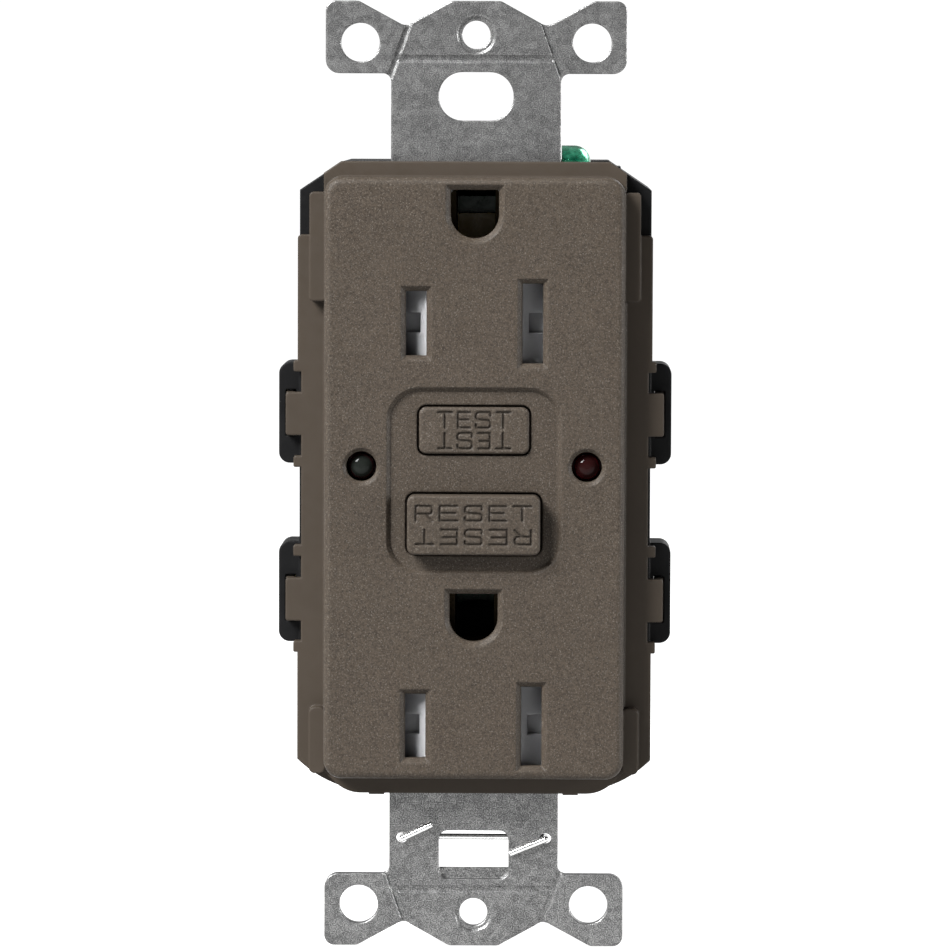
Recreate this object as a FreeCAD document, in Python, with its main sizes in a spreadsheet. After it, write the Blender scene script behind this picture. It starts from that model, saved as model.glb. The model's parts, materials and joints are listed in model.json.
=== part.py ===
import FreeCAD, Part

import math
import os

import Sketcher

# A duplex ground-fault receptacle: face, casing, steel mounting strap, terminals, shutters, push buttons and the
# tripping mechanism. Millimetres. X runs to the right of the face, Y into the wall and Z up. The origin is the
# centre of the two wall-plate screw holes, on the rear plane of the strap.

DIMENSIONS = {
    # steel mounting strap, a flat stamping in front of the plane y = 0
    "strap_thickness": 1.3,
    "strap_half_height": 52.1,
    "ear_half_width": 16.5,
    "ear_inner_z": 44.15,
    "ear_flat_x": 12.9,
    "ear_rounding": 1.1,
    "notch_x": 7.75,
    "notch_z": 49.3,
    "tongue_half_width": 2.7,
    "neck_half_width": 9.32,
    "neck_end_z": 33.0,
    "rail_half_width": 10.4,
    "rail_end_z": 31.0,
    "window_half_width": 8.6,
    "button_window_top": 9.5,
    "button_window_bottom": -10.2,
    "blade_window_half_height": 5.3,
    "wall_screw_z": 48.4,
    "wall_screw_radius": 1.55,
    "wall_screw_rim": 2.05,
    "ear_hole_x": 12.7,
    "ear_hole_z": 47.55,
    "ear_hole_radius": 2.125,
    "box_screw_z": 41.67,
    "box_slot_half_length": 4.1,
    "box_slot_half_height": 2.65,
    "clip_slot_half_width": 3.85,
    "clip_slot_top": -39.3,
    "clip_slot_bottom": -44.7,
    "slot_lip": 1.2,
    "score_width": 0.7,
    "score_depth": 0.25,
    "score_z": 45.8,
    "clip_wire_radius": 0.35,
    "clip_hole_x": 7.95,
    "clip_hole_z": -40.2,
    "clip_hole_radius": 0.62,
    # ground screw, on a lug bent rearward from the neck
    "lug_inner_x": 8.0,
    "lug_depth": 9.5,
    "lug_bottom_z": 28.0,
    "lug_top_z": 36.4,
    "ground_screw_y": 5.0,
    "ground_screw_z": 32.3,
    "ground_head_end_x": 12.6,
    "ground_tip_x": 4.7,
    # front cover
    "face_y": -7.5,
    "face_half_width": 16.4,
    "face_half_height": 32.9,
    "face_edge_round": 0.8,
    "front_wall": 1.5,
    "cavity_half_width": 14.4,
    "cavity_half_height": 31.9,
    "band_y": -4.2,
    "band_half_width": 16.55,
    "band_top_z": 34.55,
    "band_chamfer_x": 14.7,
    "band_chamfer_z": 33.3,
    "body_bottom_z": -34.8,
    "corner_start_z": -31.2,
    "corner_run": 3.72,
    "corner_round": 12.4,
    "wing_y": -3.0,
    "wing_half_width": 19.45,
    "wing_top_z": 26.5,
    "wing_recess_x": 19.05,
    "wing_recess_top": 12.7,
    "wing_recess_bottom": -19.4,
    "nub_x": 19.9,
    "nub_half_height": 0.6,
    "rib_y": -4.8,
    "rib_outer_x": 18.1,
    "foot_inner_x": 9.8,
    "foot_outer_x": 11.5,
    "foot_z": -34.95,
    "arm_inner_x": 19.9,
    "arm_outer_x": 20.75,
    "arm_half_height": 2.35,
    "arm_end_y": 7.2,
    "hook_outer_x": 21.2,
    # blade and ground openings, the same in the upper and lower receptacle
    "upper_blade_z": 17.0,
    "lower_blade_z": -27.06,
    "blade_x": 6.35,
    "blade_slot_half_width": 1.125,
    "hot_slot_half_height": 3.515,
    "neutral_slot_half_height": 4.35,
    "slot_bevel": 0.55,
    "ground_above_blade": 11.9,
    "ground_half_width": 2.63,
    "ground_strap_radius": 3.5,
    # button recess, push buttons and indicator lights
    "recess_half_width": 9.15,
    "recess_top_z": 9.65,
    "recess_bottom_z": -9.95,
    "recess_round": 3.2,
    "recess_depth": 0.5,
    "small_bevel": 0.4,
    "button_gap": 0.24,
    "button_round": 0.8,
    "button_flange": 0.6,
    "flange_front_y": -5.9,
    "flange_rear_y": -5.1,
    "test_z": 5.34,
    "test_half_width": 6.0,
    "test_half_height": 2.55,
    "test_front_y": -7.45,
    "test_stem_end_y": 0.1,
    "reset_z": -4.9,
    "reset_half_width": 7.25,
    "reset_half_height": 3.25,
    "reset_front_y": -9.2,
    "reset_pin_radius": 1.0,
    "reset_pin_end_y": 5.6,
    "light_x": 12.3,
    "light_z": 1.37,
    "light_hole_radius": 1.65,
    "light_radius": 1.45,
    "light_front_y": -6.9,
    "light_rear_y": -2.0,
    "lead_radius": 0.25,
    "lead_half_pitch": 0.5,
    "lead_board_z": -3.0,
    # rear casing
    "casing_rear_y": 27.0,
    "casing_wall": 1.6,
    "casing_half_width": 19.3,
    "casing_top_z": 34.5,
    "casing_shoulder_z": 31.4,
    "loop_front_y": -0.6,
    "loop_rear_y": 6.1,
    "loop_outer_x": 21.6,
    "loop_wall": 0.75,
    "loop_half_height": 5.55,
    "upper_loop_z": 6.85,
    "lower_loop_z": -12.9,
    "upper_arm_z": 6.85,
    "lower_arm_z": -13.6,
    "case_screw_x": 16.0,
    "case_screw_top_z": 27.0,
    "case_screw_bottom_z": -28.5,
    "case_screw_radius": 1.2,
    "case_screw_head": 2.2,
    # wiring terminals, in pockets of the casing's sides
    "load_terminal_z": 6.8,
    "line_terminal_z": -12.9,
    "terminal_y": 13.5,
    "pocket_front_y": 8.0,
    "pocket_rear_y": 19.0,
    "pocket_half_height": 5.0,
    "pocket_inner_x": 10.8,
    "pocket_wall": 1.2,
    "terminal_plate_inner_x": 16.6,
    "terminal_plate_outer_x": 17.8,
    "terminal_plate_half_height": 4.2,
    "clamp_inner_x": 12.8,
    "clamp_outer_x": 14.0,
    "wire_gap_x": 15.3,
    "wire_hole_radius": 1.3,
    "wire_hole_offset": 3.3,
    "terminal_head_outer_x": 20.4,
    "terminal_head_radius": 4.0,
    "terminal_shank_radius": 1.9,
    # insulating frame behind the strap
    "frame_rear_y": 1.5,
    "frame_half_width": 11.4,
    "frame_top_z": 26.2,
    "frame_bottom_z": -32.9,
    # contacts
    "bus_inner_x": 8.9,
    "bus_outer_x": 9.5,
    "bus_front_y": 2.0,
    "bus_rear_y": 5.0,
    "clip_rear_y": 9.0,
    "clip_half_height": 3.5,
    "leaf_thickness": 0.5,
    "contact_x": 8.15,
    "contact_z": 2.2,
    "contact_radius": 1.3,
    "arm_hinge_z": -16.6,
    "arm_front_y": 8.0,
    "arm_rear_y": 8.5,
    "contact_arm_tip_z": 3.8,
    # tripping mechanism
    "carriage_front_y": 8.65,
    "carriage_rear_y": 12.6,
    "carriage_half_width": 4.4,
    "carriage_top_z": 0.6,
    "carriage_bottom_z": -9.4,
    "carriage_wing_x": 9.3,
    "latch_front_y": 10.3,
    "latch_rear_y": 10.9,
    "latch_half_width": 3.0,
    "latch_clearance": 0.15,
    "coil_y": 15.0,
    "coil_bottom_z": 3.6,
    "coil_top_z": 13.6,
    "coil_flange_radius": 4.6,
    "coil_flange_thickness": 0.8,
    "coil_tube_radius": 2.6,
    "plunger_radius": 1.6,
    "plunger_tip_z": 2.4,
    # circuit board and current transformer
    "board_front_y": 20.4,
    "board_rear_y": 22.0,
    "board_half_width": 13.2,
    "board_top_z": 30.4,
    "board_bottom_z": -31.0,
    "transformer_z": -24.2,
    "transformer_front_y": 11.6,
    "transformer_radius": 8.6,
    "transformer_bore": 3.2,
    "conductor_y": 10.4,
    "conductor_radius": 1.1,
    # spring-loaded tamper shutters
    "shutter_front_y": -5.9,
    "shutter_rear_y": -3.5,
    "tray_front_y": -3.4,
    "tray_rear_y": -2.4,
    "tray_half_width": 10.4,
}

doc = FreeCAD.newDocument("Receptacle")
nodes = {}


# ---------------------------------------------------------------- lengths bound to the sheet


def as_size(length):
    """A plain number as a Size, and a Size as it is."""
    if isinstance(length, Size):
        return length
    return Size(repr(float(length)), float(length))


class Size:
    """A length that carries both its value and the sheet expression it comes from."""

    def __init__(self, text, value):
        self.text = text
        self.value = value

    def __add__(self, other):
        other = as_size(other)
        return Size(f"({self.text} + {other.text})", self.value + other.value)

    def __sub__(self, other):
        other = as_size(other)
        return Size(f"({self.text} - {other.text})", self.value - other.value)

    def __mul__(self, other):
        other = as_size(other)
        return Size(f"({self.text} * {other.text})", self.value * other.value)

    def __truediv__(self, other):
        other = as_size(other)
        return Size(f"({self.text} / {other.text})", self.value / other.value)

    def __radd__(self, other):
        return as_size(other) + self

    def __rsub__(self, other):
        return as_size(other) - self

    def __rmul__(self, other):
        return as_size(other) * self

    def __neg__(self):
        return 0 - self


class Dimensions:
    """The sheet of driving dimensions, one named cell to a length."""

    def __init__(self, values):
        sheet = doc.addObject("Spreadsheet::Sheet", "Dimensions")
        for row, (alias, number) in enumerate(values.items(), start=1):
            sheet.set(f"A{row}", alias.replace("_", " "))
            sheet.set(f"B{row}", str(number))
            sheet.setAlias(f"B{row}", alias)
            setattr(self, alias, Size(f"Dimensions.{alias}", float(number)))


D = Dimensions(DIMENSIONS)
doc.recompute()


def bind(thing, name, length):
    thing.setExpression(name, as_size(length).text)


# ---------------------------------------------------------------- sketches and bodies


def circle(u, v, radius):
    return ("circle", u, v, radius)


def polygon(*corners):
    """A closed outline. Each corner is (u, v) or (u, v, rounding)."""
    return ("loop", [corner if len(corner) == 3 else (*corner, 0) for corner in corners])


def rectangle(u_a, v_a, u_b, v_b, rounding=0):
    return polygon((u_a, v_a, rounding), (u_b, v_a, rounding), (u_b, v_b, rounding), (u_a, v_b, rounding))


def mirrored_polygon(*right_half):
    """A closed outline that is symmetrical about u = 0, from its right half, listed top to bottom."""
    left_half = [(-u, v, *rounding) for u, v, *rounding in reversed(right_half)]
    return polygon(*right_half, *left_half)


def bind_point(sketch, geometry, point, u, v):
    for kind, length in (("DistanceX", u), ("DistanceY", v)):
        length = as_size(length)
        index = sketch.addConstraint(Sketcher.Constraint(kind, -1, 1, geometry, point, length.value))
        sketch.setExpression(f"Constraints[{index}]", length.text)


def bind_radius(sketch, geometry, radius):
    radius = as_size(radius)
    index = sketch.addConstraint(Sketcher.Constraint("Radius", geometry, radius.value))
    sketch.setExpression(f"Constraints[{index}]", radius.text)


def draw_circle(sketch, u, v, radius):
    centre = FreeCAD.Vector(as_size(u).value, as_size(v).value, 0)
    shape = Part.Circle(centre, FreeCAD.Vector(0, 0, 1), as_size(radius).value)
    geometry = sketch.addGeometry(shape, False)
    bind_point(sketch, geometry, 3, u, v)
    bind_radius(sketch, geometry, radius)


def draw_loop(sketch, corners):
    """Lines between bound corner points, with a tangent arc at each rounded corner."""
    points = [FreeCAD.Vector(as_size(u).value, as_size(v).value, 0) for u, v, _ in corners]
    rounds = [as_size(rounding).value for _, _, rounding in corners]
    count = len(points)
    ahead = [(points[(i + 1) % count] - points[i]).normalize() for i in range(count)]
    turns = [ahead[i - 1].getAngle(ahead[i]) for i in range(count)]
    trims = [rounds[i] * math.tan(turns[i] / 2) for i in range(count)]
    lines = []
    for i in range(count):
        following = (i + 1) % count
        start = points[i] + ahead[i] * trims[i]
        end = points[following] - ahead[i] * trims[following]
        lines.append(sketch.addGeometry(Part.LineSegment(start, end), False))
    for i, (u, v, rounding) in enumerate(corners):
        if rounds[i]:
            draw_rounded_corner(sketch, points[i], ahead[i - 1], ahead[i], trims[i], lines[i - 1], lines[i], corners[i])
        else:
            sketch.addConstraint(Sketcher.Constraint("Coincident", lines[i - 1], 2, lines[i], 1))
            bind_point(sketch, lines[i], 1, u, v)


def draw_rounded_corner(sketch, corner, inward, outward, trim, line_in, line_out, bound):
    """The corner's own point, bound to the sheet, and an arc tangent to both lines."""
    u, v, rounding = bound
    radius = as_size(rounding).value
    point = sketch.addGeometry(Part.Point(corner), True)
    bind_point(sketch, point, 1, u, v)
    sketch.addConstraint(Sketcher.Constraint("PointOnObject", point, 1, line_in))
    sketch.addConstraint(Sketcher.Constraint("PointOnObject", point, 1, line_out))
    left_turn = inward.cross(outward).z > 0
    side = FreeCAD.Vector(-inward.y, inward.x, 0) * (1 if left_turn else -1)
    entry = corner - inward * trim
    leaving = corner + outward * trim
    centre = entry + side * radius
    first, last = (entry, leaving) if left_turn else (leaving, entry)
    angles = [math.atan2(end.y - centre.y, end.x - centre.x) for end in (first, last)]
    whole = Part.Circle(centre, FreeCAD.Vector(0, 0, 1), radius)
    arc = sketch.addGeometry(Part.ArcOfCircle(whole, *angles), False)
    entry_end, leaving_end = (1, 2) if left_turn else (2, 1)
    sketch.addConstraint(Sketcher.Constraint("Tangent", line_in, 2, arc, entry_end))
    sketch.addConstraint(Sketcher.Constraint("Tangent", line_out, 1, arc, leaving_end))
    bind_radius(sketch, arc, rounding)


class Piece:
    """A PartDesign body. Extrusions run between two stations on one axis, whichever way they are listed."""

    # the plane across each axis, and whether its normal points up or down that axis
    PLANES = {"x": ("YZ_Plane", 1), "y": ("XZ_Plane", -1), "z": ("XY_Plane", 1)}

    def __init__(self, label):
        self.body = doc.addObject("PartDesign::Body", label)
        self.body.Label = label
        nodes[label] = self.body

    def sketch(self, axis, offset, outlines):
        role, _ = self.PLANES[axis]
        plane = next(plane for plane in self.body.Origin.OriginFeatures if plane.Role == role)
        sketch = self.body.newObject("Sketcher::SketchObject", "Sketch")
        sketch.AttachmentSupport = [(plane, "")]
        sketch.MapMode = "FlatFace"
        bind(sketch, ".AttachmentOffset.Base.z", offset)
        for kind, *details in outlines:
            if kind == "circle":
                draw_circle(sketch, *details)
            else:
                draw_loop(sketch, *details)
        return sketch

    def pad(self, axis, start, end, *outlines):
        low, high = in_order(start, end)
        sign = self.PLANES[axis][1]
        offset = low if sign > 0 else -high
        pad = self.body.newObject("PartDesign::Pad", "Pad")
        pad.Profile = self.sketch(axis, offset, outlines)
        bind(pad, "Length", high - low)
        self.body.Tip = pad
        return self

    def pocket(self, axis, start, end, *outlines):
        low, high = in_order(start, end)
        sign = self.PLANES[axis][1]
        offset = high if sign > 0 else -low
        pocket = self.body.newObject("PartDesign::Pocket", "Pocket")
        pocket.Profile = self.sketch(axis, offset, outlines)
        bind(pocket, "Length", high - low)
        self.body.Tip = pocket
        return self

    def revolve(self, axis, centre, outline):
        """Turn an outline about a line parallel to X, with points (x, radius), or to Y, with (radius, y)."""
        across, z = centre
        sketch = self.sketch("z", z, [outline])
        shift, line = {"x": ("y", "H_Axis"), "y": ("x", "V_Axis")}[axis]
        bind(sketch, f".AttachmentOffset.Base.{shift}", across)
        turned = self.body.newObject("PartDesign::Revolution", "Revolution")
        turned.Profile = sketch
        turned.ReferenceAxis = (sketch, [line])
        self.body.Tip = turned
        return self

    def dress(self, kind, size_name, length, wanted):
        """A Fillet or Chamfer on the edges of the body so far that pass a test of their bounding box."""
        doc.recompute()
        base = self.body.Tip
        edges = [f"Edge{i}" for i, edge in enumerate(base.Shape.Edges, start=1) if wanted(edge.BoundBox)]
        dressing = self.body.newObject("PartDesign::" + kind, kind)
        dressing.Base = (base, edges)
        bind(dressing, size_name, length)
        self.body.Tip = dressing
        return self

    def fillet(self, radius, wanted):
        return self.dress("Fillet", "Radius", radius, wanted)

    def chamfer(self, length, wanted):
        return self.dress("Chamfer", "Size", length, wanted)


def in_order(a, b):
    return sorted((as_size(a), as_size(b)), key=lambda length: length.value)


# ---------------------------------------------------------------- primitives and booleans


def block(corner_a, corner_b):
    """A box between two opposite corners."""
    box = doc.addObject("Part::Box", "Block")
    for axis, side, a, b in zip("xyz", ("Length", "Width", "Height"), corner_a, corner_b):
        low, high = in_order(a, b)
        bind(box, f".Placement.Base.{axis}", low)
        bind(box, side, high - low)
    return box


TURNS = {
    "x": FreeCAD.Rotation(FreeCAD.Vector(0, 1, 0), 90),
    "y": FreeCAD.Rotation(FreeCAD.Vector(1, 0, 0), -90),
    "z": FreeCAD.Rotation(),
}


def place(thing, axis, across, start):
    """Turn a thing that stands on Z along an axis, and put its base at start on a line through across."""
    thing.Placement = FreeCAD.Placement(FreeCAD.Vector(), TURNS[axis])
    first, second = [name for name in "xyz" if name != axis]
    bind(thing, f".Placement.Base.{first}", across[0])
    bind(thing, f".Placement.Base.{second}", across[1])
    bind(thing, f".Placement.Base.{axis}", start)


def rod(axis, across, radius, start, end):
    """A cylinder along an axis. across holds its other two coordinates, in X, Y, Z order."""
    low, high = in_order(start, end)
    cylinder = doc.addObject("Part::Cylinder", "Rod")
    bind(cylinder, "Radius", radius)
    bind(cylinder, "Height", high - low)
    place(cylinder, axis, across, low)
    return cylinder


def combined(kind, label, shapes):
    result = doc.addObject(kind, label)
    if kind == "Part::Compound":
        result.Links = shapes
    else:
        result.Shapes = shapes
    return result


def fused(*shapes):
    return combined("Part::MultiFuse", "Fusion", list(shapes))


def cut(base, *tools):
    result = doc.addObject("Part::Cut", "Cut")
    result.Base = base
    result.Tool = tools[0] if len(tools) == 1 else fused(*tools)
    return result


def node(label, *solids):
    """Name a sub-part. Several solids make a group of separate pieces."""
    result = solids[0] if len(solids) == 1 else combined("Part::Compound", label, list(solids))
    result.Label = label
    nodes[label] = result


def coil(axis, across, start, end, mean_radius, wire_radius, turns):
    """A round-wire compression spring between two stations on an axis."""
    low, high = in_order(start, end)
    helix = doc.addObject("Part::Helix", "Helix")
    bind(helix, "Radius", mean_radius)
    bind(helix, "Height", high - low - 2 * wire_radius)
    bind(helix, "Pitch", (high - low - 2 * wire_radius) / turns)
    wire = doc.addObject("Part::Circle", "Wire")
    bind(wire, "Radius", wire_radius)
    wire.Placement = FreeCAD.Placement(FreeCAD.Vector(), FreeCAD.Rotation(FreeCAD.Vector(1, 0, 0), 90))
    bind(wire, ".Placement.Base.x", mean_radius)
    sweep = doc.addObject("Part::Sweep", "Spring")
    sweep.Sections = [wire]
    sweep.Spine = (helix, [])
    sweep.Solid = True
    sweep.Frenet = True
    place(sweep, axis, across, low + wire_radius)
    return sweep


def bent_wire(radius, *points):
    """Round wire along straight runs, with a ball in each bend."""
    places = [FreeCAD.Vector(*[as_size(length).value for length in point]) for point in points]
    parts = []
    for start, end in zip(places, places[1:]):
        run = doc.addObject("Part::Cylinder", "Run")
        bind(run, "Radius", radius)
        run.Height = (end - start).Length
        run.Placement = FreeCAD.Placement(start, FreeCAD.Rotation(FreeCAD.Vector(0, 0, 1), end - start))
        parts.append(run)
    for bend in points[1:-1]:
        ball = doc.addObject("Part::Sphere", "Bend")
        bind(ball, "Radius", radius)
        for axis, length in zip("xyz", bend):
            bind(ball, f".Placement.Base.{axis}", length)
        parts.append(ball)
    return fused(*parts)


# ---------------------------------------------------------------- mounting strap and grounding

SIDES = {"hot": -1, "neutral": 1}
RECEPTACLES = {"upper": D.upper_blade_z, "lower": D.lower_blade_z}
TERMINALS = {"line": D.line_terminal_z, "load": D.load_terminal_z}


def ground_z(blade_z):
    return blade_z + D.ground_above_blade


def mounting_strap():
    ear = [
        (D.tongue_half_width, D.strap_half_height, 1.0),
        (D.notch_x, D.notch_z, 1.2),
        (D.ear_flat_x, D.strap_half_height, 1.0),
        (D.ear_half_width, D.strap_half_height, D.ear_rounding),
        (D.ear_half_width, D.ear_inner_z, 1.5),
        (D.neck_half_width, D.ear_inner_z, 0.9),
        (D.neck_half_width, D.neck_end_z),
        (D.rail_half_width, D.rail_end_z),
    ]
    lower_ear = [(u, -v, *rounding) for u, v, *rounding in reversed(ear)]
    front = -D.strap_thickness
    strap = Piece("mounting_strap")
    strap.pad("y", 0, front, mirrored_polygon(*ear, *lower_ear))
    strap.pocket("y", front, 0, *strap_windows())
    strap.pocket("y", front, 0, *strap_holes())
    strap.pocket("y", front, front + D.score_depth, *[circle(0, z, D.wall_screw_rim) for z in strap_ends()])
    for surface, floor in ((front, front + D.score_depth), (0, 0 - D.score_depth)):
        strap.pocket("y", surface, floor, *diagonal_scores())
        strap.pocket("y", surface, floor, *level_scores())
    lip_top = D.clip_slot_bottom + D.slot_lip
    strap.pad("y", 0, -0.5, rectangle(-D.clip_slot_half_width, D.clip_slot_bottom - 0.2, D.clip_slot_half_width, lip_top))
    lug = polygon(
        (-0.2, D.lug_bottom_z),
        (D.lug_depth, D.lug_bottom_z, 3),
        (D.lug_depth, D.lug_top_z, 3),
        (-0.2, D.lug_top_z),
    )
    strap.pad("x", D.lug_inner_x, D.neck_half_width, lug)
    screw_hole = circle(D.ground_screw_y, D.ground_screw_z, D.terminal_shank_radius + 0.05)
    strap.pocket("x", D.lug_inner_x, D.neck_half_width, screw_hole)


def strap_ends():
    return (D.wall_screw_z, -D.wall_screw_z)


def strap_windows():
    """Openings for the blades of both receptacles and for the push buttons."""
    windows = [
        rectangle(-D.window_half_width, z - D.blade_window_half_height, D.window_half_width,
                  z + D.blade_window_half_height, 1.0)
        for z in RECEPTACLES.values()
    ]
    windows.append(rectangle(-D.window_half_width, D.button_window_bottom, D.window_half_width,
                             D.button_window_top, 1.0))
    return windows


def strap_holes():
    holes = [circle(0, z, D.wall_screw_radius) for z in strap_ends()]
    holes += [circle(0, ground_z(z), D.ground_strap_radius) for z in RECEPTACLES.values()]
    holes += [circle(0, ground_z(z) - 4.5, 0.9) for z in RECEPTACLES.values()]
    for side in SIDES.values():
        holes += [circle(side * D.ear_hole_x, end * D.ear_hole_z, D.ear_hole_radius) for end in (1, -1)]
        holes.append(circle(side * D.clip_hole_x, D.clip_hole_z, D.clip_hole_radius))
    holes.append(rectangle(-D.box_slot_half_length, D.box_screw_z - D.box_slot_half_height, D.box_slot_half_length,
                           D.box_screw_z + D.box_slot_half_height, D.box_slot_half_height * 0.98))
    holes.append(rectangle(-D.clip_slot_half_width, D.clip_slot_bottom, D.clip_slot_half_width,
                           D.clip_slot_top, 1.0))
    return holes


def diagonal_scores():
    """Snap-off lines from each notch to the neck."""
    half = D.score_width / 2
    lines = []
    for side in SIDES.values():
        for end in (1, -1):
            top, bottom = end * (D.notch_z + 0.7), end * (D.ear_inner_z - 0.55)
            outer, inner = side * (D.neck_half_width + 0.28), side * (D.notch_x - 0.45)
            lines.append(polygon((inner - half, top), (inner + half, top), (outer + half, bottom), (outer - half, bottom)))
    return lines


def level_scores():
    half = D.score_width / 2
    reach = D.notch_x + 0.75
    return [rectangle(-reach, end * D.score_z - half, reach, end * D.score_z + half) for end in (1, -1)]


def ground_clip_wire():
    """Spring wire behind the lower slot, with both ends brought forward and bent over the strap."""
    radius = D.clip_wire_radius
    behind = radius + 0.03
    ahead = -D.strap_thickness - radius - 0.03
    wire = bent_wire(
        radius,
        (-4.6, ahead, D.clip_hole_z + 1.6),
        (-D.clip_hole_x, ahead, D.clip_hole_z),
        (-D.clip_hole_x, behind, D.clip_hole_z),
        (D.clip_hole_x, behind, D.clip_hole_z),
        (D.clip_hole_x, ahead, D.clip_hole_z),
        (4.0, ahead, D.clip_hole_z - 1.6),
    )
    node("ground_clip_wire", wire)


def ground_contacts():
    """A folded clip behind each ground hole, whose two leaves grip the pin."""
    clips = []
    for blade_z in RECEPTACLES.values():
        z = ground_z(blade_z)
        base = block((-2.9, 0, z - 5.6), (2.9, 0.6, z + 3.7))
        leaves = [block((s * 2.15, 0.1, z - 2.3), (s * 2.65, D.clip_rear_y, z + 2.3)) for s in SIDES.values()]
        passage = block((-2.15, -1, z - 2.75), (2.15, 2, z + 2.75))
        rivet_hole = rod("y", (0, z - 4.5), 0.9, -1, 2)
        clips.append(cut(fused(base, *leaves), passage, rivet_hole))
    node("ground_contacts", *clips)


def ground_contact_rivets():
    rivets = []
    for blade_z in RECEPTACLES.values():
        across = (0, ground_z(blade_z) - 4.5)
        front = -D.strap_thickness
        rivets.append(fused(
            rod("y", across, 1.3, front - 0.4, front),
            rod("y", across, 0.85, front, 0.6),
            rod("y", across, 1.3, 0.6, 1.0),
        ))
    node("ground_contact_rivets", *rivets)


def ground_screw():
    seat = D.neck_half_width + 0.08
    end = D.ground_head_end_x
    screw = Piece("ground_screw")
    screw.revolve("x", (D.ground_screw_y, D.ground_screw_z), polygon(
        (D.ground_tip_x, 0),
        (end, 0),
        (end, D.terminal_head_radius, 1.8),
        (seat, D.terminal_head_radius),
        (seat, D.terminal_shank_radius),
        (D.ground_tip_x + 0.5, D.terminal_shank_radius),
        (D.ground_tip_x, D.terminal_shank_radius - 0.5),
    ))
    slot = rectangle(D.ground_screw_y - 3.9, D.ground_screw_z - 0.55, D.ground_screw_y + 3.9, D.ground_screw_z + 0.55)
    screw.pocket("x", end - 1.3, end + 0.2, slot)


# ---------------------------------------------------------------- front cover


def lower_corner(half_width):
    """The two outline points that round off a lower corner of the body."""
    return [
        (half_width, D.corner_start_z),
        (half_width - D.corner_run, D.body_bottom_z, D.corner_round),
    ]


def front_cover():
    cover = Piece("front_cover")
    rear = -D.strap_thickness
    cover.pad("y", rear, D.wing_y, mirrored_polygon(
        (D.band_chamfer_x, D.band_top_z),
        (D.band_half_width, D.band_chamfer_z),
        (D.band_half_width, D.wing_top_z),
        (D.wing_half_width, D.wing_top_z, 0.4),
        *lower_corner(D.wing_half_width),
    ))
    cover.pad("y", D.wing_y, D.band_y, mirrored_polygon(
        (D.band_chamfer_x, D.band_top_z),
        (D.band_half_width, D.band_chamfer_z),
        (D.band_half_width, D.corner_start_z - 1.2),
        (D.band_half_width - 2.6, D.body_bottom_z, 4.0),
    ))
    cover.pad("y", D.band_y, D.face_y, mirrored_polygon(
        (D.face_half_width, D.face_half_height, 2.0),
        (D.face_half_width, -D.face_half_height, 2.0),
    ))
    face_y = D.face_y.value
    cover.fillet(D.face_edge_round, lambda box: box.YMax < face_y + 0.01)
    cover_ribs(cover)
    cover_snap_arms(cover)
    cavity = rectangle(-D.cavity_half_width, -D.cavity_half_height, D.cavity_half_width, D.cavity_half_height, 1.0)
    cover.pocket("y", rear, D.face_y + D.front_wall, cavity)
    cover.pocket("y", rear, rear - 3.1, *[circle(x, z, D.case_screw_radius + 0.05) for x, z in case_screw_places()])
    cover_openings(cover)


def cover_ribs(cover):
    """Raised corner ribs, the recess and nubs along each wing, and the two feet under the lower edge."""
    rear = -D.strap_thickness
    inner = D.face_half_width - 0.1
    for side in SIDES.values():
        cover.pad("y", rear, D.rib_y, rectangle(side * inner, 19.3, side * D.rib_outer_x, 31.2, 0.4))
        cover.pad("y", rear, D.rib_y, rectangle(side * inner, -32.6, side * D.rib_outer_x, -25.3, 0.7))
        cover.pocket("y", rear, D.wing_y, rectangle(
            side * D.wing_recess_x, D.wing_recess_bottom, side * D.nub_x, D.wing_recess_top))
        nubs = [
            rectangle(side * (D.wing_recess_x - 0.5), z - D.nub_half_height, side * D.nub_x, z + D.nub_half_height, 0.2)
            for z in (12.1, 1.6, -8.2, -18.8)
        ]
        cover.pad("y", rear, D.wing_y, *nubs)
        foot = rectangle(side * D.foot_inner_x, D.foot_z, side * D.foot_outer_x, D.body_bottom_z + 0.6)
        cover.pad("y", rear, D.band_y, foot)


def cover_snap_arms(cover):
    """Arms that pass rearward through the casing's loops, each with a hook at its end."""
    for side in SIDES.values():
        for z in (D.upper_arm_z, D.lower_arm_z):
            low, high = z - D.arm_half_height, z + D.arm_half_height
            root = rectangle(side * (D.wing_recess_x - 0.5), low, side * D.arm_outer_x, high, 0.3)
            cover.pad("y", -D.strap_thickness, D.wing_y, root)
            cover.pad("z", low, high, polygon(
                (side * D.arm_inner_x, -D.strap_thickness - 0.5),
                (side * D.arm_outer_x, -D.strap_thickness - 0.5),
                (side * D.arm_outer_x, D.arm_end_y - 1.0),
                (side * D.hook_outer_x, D.arm_end_y - 1.0),
                (side * D.arm_outer_x, D.arm_end_y),
                (side * D.arm_inner_x, D.arm_end_y),
            ))


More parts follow.
